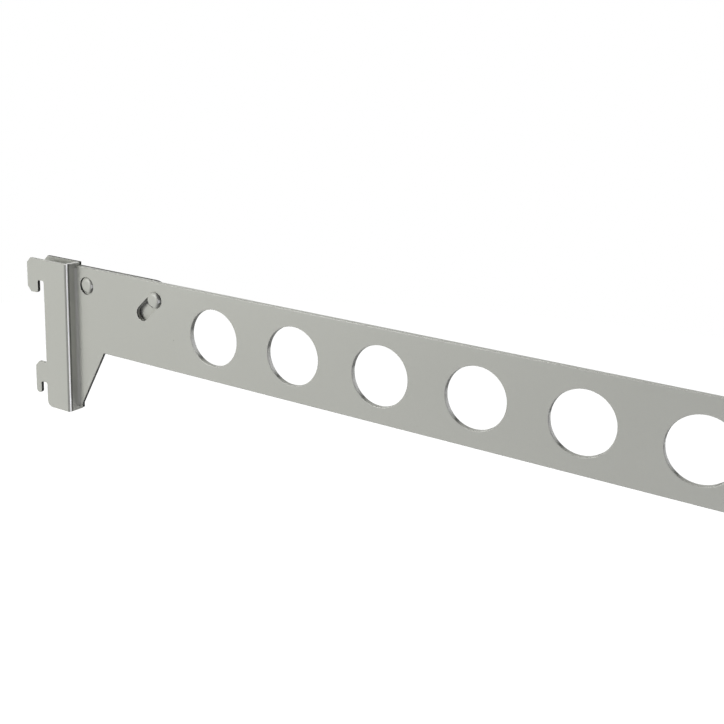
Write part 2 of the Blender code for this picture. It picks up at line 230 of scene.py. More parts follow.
class RailSizes(PropertyGroup):
    """Sizes of the perforated bar"""

    hole_diameter: length("Hole diameter", "Width of a hanger hole", 0.032)
    hole_pitch: length("Hole pitch", "Distance between hanger holes", 0.053)
    hole_count: IntProperty(name="Holes", description="Number of hanger holes", default=8, min=1)
    slot_width: length("Slot width", "Width of the slanted slot", 0.0084)
    slot_length: length("Slot length", "Length of the slot between the centres of its ends", 0.01324)
    slot_slant: angle("Slot slant", "Angle of the slot to the bar", 45)
    rivet_hole: length("Rivet hole", "Width of the hole round the end rivet", 0.0084)
    seat_width: length("Rivet seat", "Width of the recess for the end rivet's head", 0.0106)
    seat_shift: length("Seat shift", "How far the recess is off its rivet, along the slot's slant", 0.0005)
    edge_round: length("Edge rounding", "Radius along the bar's edges", 0.0005)


class HookSizes(PropertyGroup):
    """Sizes of the hooked sheet at each end"""

    sheet: length("Sheet", "Thickness of the sheet", 0.0020)
    bend_radius: length("Bend radius", "Outer radius of the bend", 0.0017)
    flange_depth: length("Flange depth", "From the web to the flange's open edge", 0.0190)
    foot_radius: length("Foot radius", "Round lower corner of the flange", 0.0040)
    notch_width: length("Notch width", "Room for the upright's wall", 0.0050)
    notch_radius: length("Notch radius", "Round inner corners of the notches", 0.0010)
    notch_below_top: length("Notch height", "From the bar's top edge down to the upper notch", 0.0110)
    spacing: length("Hook spacing", "Distance between the two hooks", 0.064)
    upper_finger: length("Upper finger", "Width of the front upper finger", 0.0088)
    rear_upper_finger: length("Rear upper finger", "Width of the rear upper finger", 0.0064)
    upper_drop: length("Upper drop", "Length of the upper finger below its notch", 0.0078)
    upper_chamfer: length("Upper chamfer", "Cut-off corners of the upper finger", 0.0030)
    lower_finger: length("Lower finger", "Width of the lower finger", 0.0044)
    lower_drop: length("Lower drop", "Length of the lower finger below its notch", 0.0075)
    lower_rise: length("Lower rise", "Height of the lower hook above its notch", 0.0130)
    lower_chamfer: length("Lower chamfer", "Cut-off corner of the lower hook", 0.0032)
    tip_radius: length("Tip radius", "Round tips of the fingers", 0.0020)
    edge_round: length("Edge rounding", "Radius along the sheet's cut edges", 0.0002)


class ArmSizes(PropertyGroup):
    """Sizes of the arm, the gusset and the weld bead"""

    setback: length("Setback", "From the web's outer face back to the hook plate's edge", 0.0008)
    arm_below_slot: length("Arm below slot", "Arm left below the bar's slot", 0.0060)
    arm_end_radius: length("Arm end radius", "Round end of the arm", 0.014)
    guide_width: length("Guide slot", "Width of the slot round the guide tenon", 0.0036)
    guide_run: length("Guide run", "Length of the guide slot between the centres of its ends", 0.01004)
    tenon_hole: length("Tenon hole", "Width of the hole round the slot rivet", 0.0066)
    gusset_foot_width: length("Gusset foot", "Width of the gusset's narrow foot", 0.0028)
    gusset_foot_height: length("Gusset foot height", "Height of the gusset's narrow foot", 0.0026)


class RivetSizes(PropertyGroup):
    """Sizes of the domed rivets"""

    shank_diameter: length("Shank", "Width of the shank in the bar", 0.0078)
    head_diameter: length("Head", "Width of the head", 0.0095)
    head_flat: share("Flat of the head", "Share of the head's width that is flat on top", 0.45)
    head_rim: length("Head rim", "Height of the straight rim under the dome", 0.00015)
    head_height: length("Head height", "Height of the dome above its rim", 0.0015)
    seat_depth: length("Seat depth", "How deep the end rivet's head is sunk into the bar", 0.0011)
    shoulder: length("Shoulder", "Step from the shank to the slot rivet's tenon", 0.0009)
    guide_diameter: length("Guide", "Width of the end rivet's tenon", 0.0030)
    tail_height: length("Tail height", "Height of the tail's dome", 0.0014)
    tail_overhang: length("Tail overhang", "Step from the tenon to the tail", 0.0016)
    head_gap: length("Head gap", "Room between the head and the bar", 0.0002)
    edge_round: length("Edge rounding", "Radius along the head's rim", 0.00008)


class PaintLook(PropertyGroup):
    """The silver-grey paint"""

    face: colour("Paint", "Colour of the painted faces", (0.479, 0.486, 0.438))
    # Also the colour of the painted shade in the slots, the seat, the holes, along the foot, on the bend and
    # on the rivets
    cut: colour("Cut edges", "Colour of cut edges, where the paint is thin", (0.025, 0.025, 0.024))
    # Also the colour of the painted highlights in the holes, on the bend's line, on the webs' tops and on
    # the rivets
    bare_and_highlight: colour("Bare metal", "Colour where the paint is rubbed off", (0.85, 0.85, 0.86))
    rivet: colour("Rivet paint", "Colour of the rivets", (0.479, 0.486, 0.438))
    speck: colour("Specks", "Colour of small specks in the paint", (0.33, 0.335, 0.30))
    roughness: share("Roughness", "Roughness of the satin paint", 0.32)
    rivet_roughness: share("Rivet roughness", "Roughness of the painted rivets", 0.40)
    cut_roughness: share("Cut roughness", "Roughness of the sheet's cut edges", 0.95)
    bare_metallic: share("Bare metallic", "Share of metal where the paint is rubbed off", 0.85)
    bare_roughness: share("Bare roughness", "Roughness where the paint is rubbed off", 0.55)
    metallic: share("Metallic", "Share of metal flake in the paint", 0.05)
    peel_size: length("Orange peel", "Size of the paint's fine waves", PEEL_SIZE)
    peel_depth: length("Peel depth", "Height of the paint's fine waves", 0.000012)
    fleck_size: length("Flecks", "Size of the metal flecks", FLECK_SIZE)
    fleck_gloss: share("Fleck gloss", "How much smoother a metal fleck is", 0.08)
    drift: share("Drift", "Share of tone lost where the paint is darkest", 0.03)
    specular: share("Specular", "Strength of the paint's surface gloss", 0.35)


class StageLook(PropertyGroup):
    """Camera, lights and floor"""

    camera_place: place("Camera", "Place of the camera", (0.1561, -0.4223, 0.1704))
    camera_turn: angle("Turn", "Camera's turn to the right of straight ahead", -30.19)
    camera_tilt: angle("Tilt", "Camera's tilt above level", -16.60)
    camera_roll: angle("Roll", "Camera's roll about its own axis", -3.22)
    camera_lens: FloatProperty(
        name="Lens", description="Focal length on a 36 mm sensor", default=50.33, subtype="DISTANCE_CAMERA"
    )
    floor_drop: length("Floor", "Height of the rail's lowest point above the floor", 0.60)
    floor_radius: length("Floor radius", "Radius of the floor", 3.0)
    floor_glow: share("Floor white", "How far the floor is lifted to white under the rail", 0.90)
    shadow_reach: length("Shadow reach", "How far from the middle the floor keeps its shadow", 0.8)
    floor_colour: colour("Floor colour", "Colour of the plain pale floor", (0.80, 0.80, 0.79))
    floor_roughness: share("Floor roughness", "Roughness of the floor", 0.9)
    ambient: share("Ambient", "Strength of the even light from all round", 0.05)
    ambient_colour: colour("Ambient colour", "Colour of the even light", (0.93, 0.92, 1.0))
    key: power("Key light", "Power of the front left softbox", 11.7)
    key_place: place("Key light's place", "Place of the front left softbox", (-0.70, -1.05, 0.30))
    top: power("Top light", "Power of the softbox above", 6)
    top_place: place("Top light's place", "Place of the softbox above", (-0.20, 0.25, 1.10))
    strip: power("Strip light", "Power of the strip beside the camera", 0.8)
    strip_place: place("Strip's place", "Place of the strip beside the camera", (0.32, -0.64, -0.19))
    strip_colour: colour("Strip's colour", "Colour of the strip beside the camera", (0.85, 0.83, 1.0))
    rear: power("Rear light", "Power of the softbox behind", 11)
    rear_place: place("Rear light's place", "Place of the softbox behind", (0, 1.25, -0.30))


def nothing_selected():
    """Leave edit mode and clear the selection."""
    if bpy.context.object and bpy.context.object.mode == "EDIT":
        bpy.ops.object.mode_set(mode="OBJECT")
    bpy.ops.object.select_all(action="DESELECT")


def pick(piece):
    nothing_selected()
    piece.select_set(True)
    bpy.context.view_layer.objects.active = piece


@contextmanager
def editing(piece):
    """Edit mode on one piece alone, with all of its mesh selected at first."""
    pick(piece)
    bpy.ops.object.mode_set(mode="EDIT")
    bpy.ops.mesh.select_all(action="SELECT")
    yield
    bpy.ops.object.mode_set(mode="OBJECT")


def named(name):
    """Name the object that was just added, and put its place into its mesh."""
    piece = bpy.context.object
    piece.name = name
    piece.data.name = name
    bpy.ops.object.transform_apply(location=True, rotation=True, scale=True)
    return piece


def add_block(name, low, high):
    nothing_selected()
    bpy.ops.mesh.primitive_cube_add(size=1, location=(low + high) / 2, scale=high - low)
    return named(name)


def add_drill(name, centre, diameter, sides):
    """A round cutter through the bar or the plate, from front to rear."""
    nothing_selected()
    bpy.ops.mesh.primitive_cylinder_add(
        vertices=sides,
        radius=diameter / 2,
        depth=2 * CUT_MARGIN + RAIL_DEPTH,
        location=centre,
        rotation=(QUARTER_TURN, 0, 0),
    )
    return named(name)


def stretch(piece, centre, move):
    """Pull the side of a cutter that lies towards the move, so a round one becomes a slot."""
    with editing(piece):
        bpy.ops.mesh.select_mode(type="VERT")
        bpy.ops.mesh.select_all(action="DESELECT")
        mesh = bmesh.from_edit_mesh(piece.data)
        for vertex in mesh.verts:
            vertex.select_set((vertex.co - centre).dot(move) > 0)
        bmesh.update_edit_mesh(piece.data)
        bpy.ops.transform.translate(value=move)


def cut(piece, cutters):
    """Cut the openings and throw the cutters away."""
    pick(cutters[0])
    for cutter in cutters:
        cutter.select_set(True)
    if len(cutters) > 1:
        bpy.ops.object.join()
    tool = bpy.context.object
    pick(piece)
    opening = piece.modifiers.new("openings", "BOOLEAN")
    opening.operation = "DIFFERENCE"
    opening.object = tool
    bpy.ops.object.modifier_apply(modifier=opening.name)
    bpy.data.objects.remove(tool)


def arc(centre, radius, start, end, steps):
    turns = [start + (end - start) * step / steps for step in range(steps + 1)]
    return [(centre[0] + radius * math.cos(turn), centre[1] + radius * math.sin(turn)) for turn in turns]


def edge_room(corner, neighbour):
    """Length that a rounded corner may take of the edge to its neighbour."""
    run = (Vector(neighbour[:2]) - Vector(corner[:2])).length
    return run * (EDGE_SHARE_PAIRED if neighbour[2] else EDGE_SHARE_ALONE)


def rounded(corners):
    """Outline through corners given as (across, up, radius), filleted as far as the edges allow."""
    points = []
    for index, (x, y, radius) in enumerate(corners):
        if radius == 0:
            points.append((x, y))
            continue
        previous = corners[index - 1]
        following = corners[(index + 1) % len(corners)]
        corner = Vector((x, y))
        before = (Vector(previous[:2]) - corner).normalized()
        after = (Vector(following[:2]) - corner).normalized()
        half_angle = before.angle(after) / 2
        room = min(edge_room(corners[index], previous), edge_room(corners[index], following))
        tangent = min(radius / math.tan(half_angle), room)
        fillet = tangent * math.tan(half_angle)
        centre = corner + (before + after).normalized() * fillet / math.sin(half_angle)
        first = corner + before * tangent - centre
        last = corner + after * tangent - centre
        start = math.atan2(first.y, first.x)
        turn = math.atan2(first.cross(last), first.dot(last))
        points += arc(centre, fillet, start, start + turn, ARC_STEPS)
    return points


def standing(points, depth):
    """Points drawn as (from the web's outer face, up from the bar's top edge), stood up at one depth."""
    return [Vector((WEB_FACE + x, depth, RAIL_TOP + z)) for x, z in points]


def trace(name, points, filled=True):
    """Draw an outline by extruding one point from corner to corner, and fill it if asked."""
    nothing_selected()
    bpy.ops.mesh.primitive_plane_add(size=START_SIZE, location=points[0])
    piece = named(name)
    with editing(piece):
        bpy.ops.mesh.select_mode(type="VERT")
        bpy.ops.mesh.merge(type="CENTER")
        for here, there in zip(points, points[1:]):
            bpy.ops.mesh.extrude_vertices_move(TRANSFORM_OT_translate={"value": there - here})
        if filled:
            bpy.ops.mesh.select_all(action="SELECT")
            bpy.ops.mesh.edge_face_add()
    return piece


def face_outwards():
    """In edit mode, merge doubles and turn every face out."""
    bpy.ops.mesh.select_all(action="SELECT")
    bpy.ops.mesh.remove_doubles(threshold=MERGE_DISTANCE)
    bpy.ops.mesh.normals_make_consistent(inside=False)


def score(point, normal):
    """In edit mode, cut every face along a plane and keep both sides."""
    bpy.ops.mesh.select_all(action="SELECT")
    bpy.ops.mesh.bisect(plane_co=point, plane_no=normal)


def thicken(piece, move):
    """Pull a flat outline out into a solid."""
    with editing(piece):
        bpy.ops.mesh.extrude_region_move(TRANSFORM_OT_translate={"value": move})
        face_outwards()


def select_faces(piece, test):
    """In edit mode, select just the faces that pass a test on their centre and normal."""
    bpy.ops.mesh.select_mode(type="FACE")
    bpy.ops.mesh.select_all(action="DESELECT")
    mesh = bmesh.from_edit_mesh(piece.data)
    chosen = [face for face in mesh.faces if test(face.calc_center_median(), face.normal)]
    if not chosen:
        raise RuntimeError(f"{piece.name}: no face passes the test")
    for face in chosen:
        face.select_set(True)
    bmesh.update_edit_mesh(piece.data)


def select_edges(piece, test):
    """In edit mode, select just the edges whose middle passes a test."""
    bpy.ops.mesh.select_mode(type="EDGE")
    bpy.ops.mesh.select_all(action="DESELECT")
    mesh = bmesh.from_edit_mesh(piece.data)
    chosen = [edge for edge in mesh.edges if test((edge.verts[0].co + edge.verts[1].co) / 2)]
    if not chosen:
        raise RuntimeError(f"{piece.name}: no edge passes the test")
    for edge in chosen:
        edge.select_set(True)
    bmesh.update_edit_mesh(piece.data)


def mirrored_copy(piece, name):
    """The same piece for the right end, with a mesh of its own."""
    pick(piece)
    bpy.ops.object.duplicate(linked=False)
    copy = named(name)
    with editing(copy):
        bpy.ops.transform.resize(value=(-1, 1, 1), center_override=(0, 0, 0))
        bpy.ops.mesh.normals_make_consistent(inside=False)
    return copy


def both_ends(left):
    """The left piece and its copy for the right end, each with the name of its end."""
    right = mirrored_copy(left, left.name.replace("left", "right"))
    return ("left", left), ("right", right)


def near(point, place, reach):
    """Whether a point, seen from the front, lies within reach of a place at either end."""
    return math.hypot(abs(point.x) - abs(place.x), point.z - place.z) < reach


def to_middle(centre, normal):
    """How far a face turns towards the bar's middle."""
    return -math.copysign(1, centre.x) * normal.x


def fade(value, low, high):
    """From 0 at the low value to 1 at the high one."""
    return min(1, max(0, (value - low) / (high - low)))


def mark_faces(piece, name, give_share):
    """Keep on each face the share that a function gives for its centre and normal."""
    marks = [float(give_share(face.center, face.normal)) for face in piece.data.polygons]
    piece.data.attributes.new(name, "FLOAT", "FACE").data.foreach_set("value", marks)


def round_edges(piece, radius, test=lambda middle: True):
    """Round the sharp edges whose middle passes a test, and mark the faces of the rounding."""
    mesh = bmesh.new()
    mesh.from_mesh(piece.data)
    weight = mesh.edges.layers.float.new("bevel_weight_edge")
    for edge in mesh.edges:
        sharp = len(edge.link_faces) == 2 and edge.calc_face_angle() > SHARP_ANGLE
        edge[weight] = float(sharp and test((edge.verts[0].co + edge.verts[1].co) / 2))
    mesh.to_mesh(piece.data)
    mesh.free()
    # The rounding's faces are told apart by the second of two empty material slots
    piece.data.materials.clear()
    for _ in range(2):
        piece.data.materials.append(None)
    pick(piece)
    rounding = piece.modifiers.new("rounded edges", "BEVEL")
    rounding.limit_method = "WEIGHT"
    rounding.width = radius
    rounding.segments = ROUND_STEPS
    rounding.use_clamp_overlap = False
    rounding.material = 1
    bpy.ops.object.modifier_apply(modifier=rounding.name)
    marks = [float(face.material_index) for face in piece.data.polygons]
    piece.data.attributes.new("rounded_edge", "FLOAT", "FACE").data.foreach_set("value", marks)
    piece.data.materials.clear()


def even_shading(piece):
    """Smooth the round stretches and keep the flat faces flat."""
    pick(piece)
    bpy.ops.object.shade_smooth_by_angle(angle=SMOOTH_ANGLE)
    shading = piece.modifiers.new("even shading", "WEIGHTED_NORMAL")
    shading.keep_sharp = True
    bpy.ops.object.modifier_apply(modifier=shading.name)


def hand_over(piece, node, body, material):
    """Paint a finished piece and let it stand for its CAD node."""
    piece.data.materials.clear()
    piece.data.materials.append(material)
    for face in piece.data.polygons:
        face.material_index = 0
    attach(piece, body)
    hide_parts(node)


def hook_corners(hooks, upper_finger):
    """The hooked edge of a flange, from its top down, measured from the web and the bar's top edge."""
    edge = -hooks.flange_depth
    notch = edge - hooks.notch_width
    upper_tip = notch - upper_finger
    lower_tip = notch - hooks.lower_finger
    upper_notch = -hooks.notch_below_top
    lower_notch = upper_notch - hooks.spacing
    upper_end = upper_notch - hooks.upper_drop
    lower_end = lower_notch - hooks.lower_drop
    lower_top = lower_notch + hooks.lower_rise
    return [
        (upper_tip + hooks.upper_chamfer, HOOKS_TOP, 0),
        (upper_tip, HOOKS_TOP - hooks.upper_chamfer, 0),
        (upper_tip, upper_end + hooks.upper_chamfer, 0),
        (upper_tip + hooks.upper_chamfer, upper_end, 0),
        (notch, upper_end, hooks.tip_radius),
        (notch, upper_notch, hooks.notch_radius),
        (edge, upper_notch, hooks.notch_radius),
        (edge, lower_top, 0),
        (lower_tip + hooks.lower_chamfer, lower_top, 0),
        (lower_tip, lower_top - hooks.lower_chamfer, 0),
        (lower_tip, lower_end, hooks.tip_radius),
        (notch, lower_end, hooks.tip_radius),
        (notch, lower_notch, hooks.notch_radius),
        (edge, lower_notch, hooks.notch_radius),
        (edge, HOOKS_BOTTOM, hooks.foot_radius),
    ]


def slot_run(rail, reach):
    """The way along the slanted slot, towards the upright and down."""
    return Vector((-math.cos(rail.slot_slant), 0, -math.sin(rail.slot_slant))) * reach


def model_rail(rail, seat_depth):
    """Bar with its hanger holes, and a rivet's hole, a seat and a slanted slot at each end."""
    bar = add_block("rail_bar", RAIL_LOW, RAIL_HIGH)
    drills = []
    seats = []
    for index in range(rail.hole_count):
        step = index - (rail.hole_count - 1) / 2
        centre = RAIL_MIDDLE + ACROSS * step * rail.hole_pitch
        drills.append(add_drill("hanger_hole", centre, rail.hole_diameter, HOLE_SIDES))
    for side in (1, -1):
        to_side = Matrix.Diagonal((side, 1, 1))
        rivet = to_side @ Vector((END_RIVET.x, RAIL_MIDDLE.y, END_RIVET.z))
        drills.append(add_drill("rivet_hole", rivet, rail.rivet_hole, SLOT_SIDES))
        seat = rivet + to_side @ slot_run(rail, rail.seat_shift)
        above_seat = seat - REARWARD * (RAIL_DEPTH + CUT_MARGIN - seat_depth)
        seats.append(add_drill("rivet_seat", above_seat, rail.seat_width, SLOT_SIDES))
        slot_top = to_side @ Vector((SLOT_RIVET.x, RAIL_MIDDLE.y, SLOT_RIVET.z))
        slot = add_drill("slanted_slot", slot_top, rail.slot_width, SLOT_SIDES)
        stretch(slot, slot_top, to_side @ slot_run(rail, rail.slot_length))
        drills.append(slot)
    cut(bar, drills)
    cut(bar, seats)
    with editing(bar):
        for end in (GUSSET_HIGH.x, -GUSSET_HIGH.x):
            score((end, 0, 0), ACROSS)
        score((0, RAIL_REAR - SLOT_STRIP, 0), REARWARD)

    def free(middle):
        """Not where the gusset or the web covers the edge, nor round the rivet's seat."""
        at_gusset = middle.z < RAIL_LOW.z + MERGE_DISTANCE and abs(middle.x) > -GUSSET_HIGH.x
        at_web = abs(middle.x) > RAIL_HIGH.x - MERGE_DISTANCE
        return not (at_gusset or at_web or near(middle, END_RIVET, rail.seat_width))

    round_edges(bar, rail.edge_round, free)
    even_shading(bar)
    mark_rail(bar, rail)
    return bar


def mark_rail(bar, rail):
    """Painted shade in the slots, the seats, the hanger holes and along the foot, and a painted highlight of
    bare metal in the hanger holes.
    """
    slot_middle = SLOT_RIVET + slot_run(rail, rail.slot_length / 2)
    slot_reach = (rail.slot_length + rail.slot_width) / 2 + rail.edge_round
    holes_end = abs(SLOT_RIVET.x) - rail.slot_width

    def slot_shade(centre, normal):
        """Painted shade on the slot's wall towards the upright, darkest along its rims, and on the rivet's
        seat.
        """
        if abs(normal.y) > RIM_TURN or to_middle(centre, normal) < -SLIGHT_TURN:
            return 0
        if near(centre, END_RIVET, rail.seat_width):
            return RIM_SHADE
        at_rim = abs(normal.y) > WALL_TURN or centre.y > RAIL_REAR - SLOT_STRIP
        return near(centre, slot_middle, slot_reach) * (RIM_SHADE if at_rim else SLOT_SHADE)

    def on_hole_wall(centre, normal):
        in_hole = abs(centre.z - RAIL_MIDDLE.z) < rail.hole_diameter / 2 and abs(centre.x) < holes_end
        return in_hole and abs(normal.y) < SLIGHT_TURN

    # Painted shade in dark bands on each hole's wall above and below its painted highlight, along the foot
    # and in the slots
    def thin_paint_and_shade(centre, normal):
        turn = normal.z - HOLE_HIGHLIGHT_TURN
        band = fade(abs(turn), *HOLE_SHADE_IN) * (1 - fade(turn, *HOLE_SHADE_OUT))
        hole_shade = HOLE_SHADE * band * on_hole_wall(centre, normal)
        # Painted shade along the bar's rounded underside
        at_foot = centre.z < RAIL_LOW.z + rail.edge_round and normal.z < -SLIGHT_TURN
        foot_shade = FOOT_SHADE * (at_foot and abs(normal.y) > WALL_TURN)
        return max(hole_shade, foot_shade, slot_shade(centre, normal))

    # Painted highlight: bare metal on a stretch of each hole's wall
    def highlight_share(centre, normal):
        turn = normal.z - HOLE_HIGHLIGHT_TURN
        band = fade(turn, *HOLE_HIGHLIGHT_IN) * (1 - fade(turn, *HOLE_HIGHLIGHT_OUT))
        return HOLE_HIGHLIGHT * band * on_hole_wall(centre, normal)

    mark_faces(bar, "cut_edge_and_shade", thin_paint_and_shade)
    mark_faces(bar, "painted_highlight", highlight_share)


def model_hook_angle(hooks):
    """Front flange drawn as a flat sheet, its end strip drawn back as the web, the corner rounded."""
    corners = hook_corners(hooks, hooks.upper_finger) + [(0, HOOKS_BOTTOM, 0), (0, HOOKS_TOP, 0)]
    sheet = trace("left_front_hooks", standing(rounded(corners), ANGLE_LOW.y))
    thicken(sheet, REARWARD * hooks.sheet)
    inside = Vector((WEB_FACE - hooks.sheet, ANGLE_LOW.y + hooks.sheet, 0))
    corner = Vector((WEB_FACE - MERGE_DISTANCE, ANGLE_LOW.y + MERGE_DISTANCE, 0))
    drawn_back = REARWARD * (ANGLE_HIGH.y - inside.y)
    with editing(sheet):
        score(inside, ACROSS)
        select_faces(sheet, lambda centre, normal: normal.y > FACING and centre.x > inside.x)
        bpy.ops.mesh.extrude_region_move(TRANSFORM_OT_translate={"value": drawn_back})
        face_outwards()
        select_edges(sheet, lambda middle: middle.x > corner.x and middle.y < corner.y)
        bpy.ops.mesh.bevel(offset=hooks.bend_radius, segments=BEND_STEPS, affect="EDGES")
        score((0, ANGLE_LOW.y + hooks.bend_radius + STRIP_WIDTH, 0), REARWARD)
    return sheet


def finish_hook_angle(sheet, hooks):
    """Dark cut edges except those facing up, painted shade on the bend and beside its line, and a painted
    highlight of bare metal on the line and the web's top.
    """
    round_edges(sheet, hooks.edge_round)
    even_shading(sheet)
    web_inside = abs(WEB_FACE) + hooks.sheet
    bend_end = ANGLE_LOW.y + hooks.bend_radius

    def bend_turn(centre, normal):
        """How far round the bend a face is, from 0 on the flange to 1 on the web."""
        on_bend = centre.y < bend_end and abs(centre.x) < web_inside and abs(normal.z) < FACING
        return on_bend * max(0, math.atan2(abs(normal.x), -normal.y)) / QUARTER_TURN

    # Dark cut edges beyond the web except facing up, and painted shade on the bend before its line and in
    # the strip past it
    def thin_paint_and_shade(centre, normal):
        if abs(centre.x) > web_inside:
            return abs(normal.y) < FACING and normal.z < FACING
        beside_bend = abs(normal.x) > FACING and bend_end < centre.y < bend_end + STRIP_WIDTH
        turn = bend_turn(centre, normal)
        past_line = beside_bend or turn > LINE_END
        return max(WEB_SHADE * past_line, FLANGE_SHADE * (BEND_START < turn < LINE_START))

    # Painted highlight of bare metal on the bend's line and the web's top edge
    def highlight_share(centre, normal):
        web_top = normal.z > FACING and abs(centre.x) < web_inside
        return max(WEB_TOP_HIGHLIGHT * web_top, LINE_START < bend_turn(centre, normal) < LINE_END)

    mark_faces(sheet, "cut_edge_and_shade", thin_paint_and_shade)
    mark_faces(sheet, "painted_highlight", highlight_share)


def model_gusset(arms):
    """Slanted plate with a narrow upright foot, from the bar's bottom edge down."""
    foot = arms.gusset_foot_width
    bottom = GUSSET_LOW.z - RAIL_TOP
    top = RAIL_LOW.z - RAIL_TOP
    corners = [
        (0, top),
        (0, bottom),
        (foot, bottom),
        (foot, bottom + arms.gusset_foot_height),
        (GUSSET_HIGH.x - WEB_FACE, top),
    ]
    gusset = trace("left_gusset_plate", standing(corners, GUSSET_LOW.y))
    thicken(gusset, REARWARD * (GUSSET_HIGH.y - GUSSET_LOW.y))
    return gusset


def finish_gusset(gusset, hooks):
    def free(middle):
        """Not where the bar or the web covers the edge."""
        at_bar = middle.z > RAIL_LOW.z - MERGE_DISTANCE
        at_web = abs(middle.x) > abs(WEB_FACE) - MERGE_DISTANCE
        return not (at_bar or at_web)

    round_edges(gusset, hooks.edge_round, free)
    even_shading(gusset)
    # Every cut edge is darkened
    mark_faces(gusset, "cut_edge_and_shade", lambda centre, normal: abs(normal.y) < FACING)


def model_weld():
    """Hollow bead that fills the corner of the web and the front faces."""
    reach = WELD_HIGH.x - WEB_FACE
    hollow = arc((WEB_FACE + reach, RAIL_FRONT - reach), reach, QUARTER_TURN, 2 * QUARTER_TURN, ARC_STEPS)
    section = [Vector((x, y, WELD_LOW.z)) for x, y in [(WEB_FACE, RAIL_FRONT)] + hollow]
    bead = trace("left_weld_bead", section)
    thicken(bead, UP * (WELD_HIGH.z - WELD_LOW.z))
    return bead


def model_hook_plate(rail, hooks, arms):
    """Rear hooks and arm from one sheet, with the guide slot and the rivet's hole cut in."""
    end = PLATE_HIGH.x - WEB_FACE
    rivet = SLOT_RIVET.z - RAIL_TOP
    low = rivet + slot_run(rail, rail.slot_length).z - rail.slot_width / 2 - arms.arm_below_slot
    edge = -arms.setback
    arm = [
        (edge, HOOKS_BOTTOM, 0),
        (edge, low, 0),
        (end, low, arms.arm_end_radius),
        (end, 0, arms.arm_end_radius),
        (edge, 0, 0),
        (edge, HOOKS_TOP, 0),
    ]
    corners = hook_corners(hooks, hooks.rear_upper_finger) + arm
    plate = trace("left_rear_hooks", standing(rounded(corners), PLATE_LOW.y))
    thicken(plate, REARWARD * hooks.sheet)
    middle = (PLATE_LOW.y + PLATE_HIGH.y) / 2
    guide_low = Vector((END_RIVET.x, middle, END_RIVET.z))
    guide = add_drill("guide_slot", guide_low, arms.guide_width, SLOT_SIDES)
    stretch(guide, guide_low, -slot_run(rail, arms.guide_run))
    tenon_centre = Vector((SLOT_RIVET.x, middle, SLOT_RIVET.z))
    tenon = add_drill("tenon_hole", tenon_centre, arms.tenon_hole, SLOT_SIDES)
    cut(plate, [guide, tenon])
    return plate


def finish_hook_plate(plate, hooks):
    round_edges(plate, hooks.edge_round)
    even_shading(plate)
    # Every cut edge is darkened
    mark_faces(plate, "cut_edge_and_shade", lambda centre, normal: abs(normal.y) < FACING)


def model_rivet(name, rivets, centre, rear, tenon_radius, sunk):
    """Half section from the dome's crown to the tail's crown, swept all the way round."""
    head_radius = rivets.head_diameter / 2
    shank_radius = rivets.shank_diameter / 2
    tail_radius = tenon_radius + rivets.tail_overhang
    under = RAIL_FRONT + sunk - rivets.head_gap
    rim = under - rivets.head_rim
    tail = rear - rivets.tail_height
    dome = arc((0, 0), 1, QUARTER_TURN, 0, ARC_STEPS)
    flat = head_radius * rivets.head_flat
    shoulder = [(flat + (head_radius - flat) * across, rim - rivets.head_height * up) for across, up in dome]
    profile = [(0, rim - rivets.head_height)] + shoulder
    profile += [(head_radius, under), (shank_radius, under), (shank_radius, RAIL_REAR)]
    profile += [(tenon_radius, RAIL_REAR), (tenon_radius, tail)]
    profile += [(tail_radius * across, tail + rivets.tail_height * up) for across, up in reversed(dome)]
    points = [Vector((centre.x + radius, depth, centre.z)) for radius, depth in profile]
    rivet = trace(name, points, filled=False)
    with editing(rivet):
        bpy.ops.mesh.spin(steps=TURN_STEPS, angle=2 * math.pi, center=centre, axis=REARWARD)
        face_outwards()
    return rivet


def finish_rivet(rivet, rivets):
    round_edges(rivet, rivets.edge_round)
    even_shading(rivet)

    def rivet_painted_shade(centre, normal):
        """Painted shade on the shoulder's side towards the bar's middle, and painted shadow under its rim on
        the other side.
        """
        turn = to_middle(centre, normal)
        under_rim = turn < RIM_SIDE and normal.z < RIM_DOWN and normal.y > RIM_FRONT
        on_head = normal.y < HEAD_END
        return on_head * max(RIVET_SHADE * fade(turn, *DARK_SIDE_IN), RIM_SHADE * under_rim)

    def wear_and_highlight(centre, normal):
        """Painted highlight of bare metal in a narrow spot on the shoulder, towards the bar's middle."""
        in_spot = to_middle(centre, normal) > SPOT_SIDE and abs(normal.z) < SPOT_RISE
        return RIVET_HIGHLIGHT * (in_spot and normal.y < -SLIGHT_TURN)

    mark_faces(rivet, "cut_edge_and_shade", rivet_painted_shade)
    mark_faces(rivet, "painted_highlight", wear_and_highlight)


def add_node(tree, kind, **settings):
    made = tree.nodes.new(kind)
    for setting, value in settings.items():
        setattr(made, setting, value)
    return made


def calculate(tree, operation, first, second):
    """A Math node; each side is a socket or a plain number."""
    made = add_node(tree, "ShaderNodeMath", operation=operation)
    for socket, value in zip(made.inputs, (first, second)):
        if isinstance(value, (int, float)):
            socket.default_value = value
        else:
            tree.links.new(value, socket)
    return made.outputs["Value"]


def remap(tree, value, source, target):
    """A Map Range node from one pair of limits to another."""
    made = add_node(tree, "ShaderNodeMapRange")
    tree.links.new(value, made.inputs["Value"])
    for label, limit in zip(("From Min", "From Max", "To Min", "To Max"), (*source, *target)):
        made.inputs[label].default_value = limit
    return made.outputs["Result"]


def mix_colour(tree, amount, first, second):
    """Blend from the first colour, a socket or a plain colour, to the second, by a mask."""
    made = add_node(tree, "ShaderNodeMix", data_type="RGBA")
    tree.links.new(amount, made.inputs[MIX_AMOUNT])
    for socket, value in ((made.inputs[MIX_FIRST], first), (made.inputs[MIX_SECOND], second)):
        if isinstance(value, bpy.types.NodeSocket):
            tree.links.new(value, socket)
        else:
            socket.default_value = (*value, 1)
    return made.outputs[MIX_RESULT]


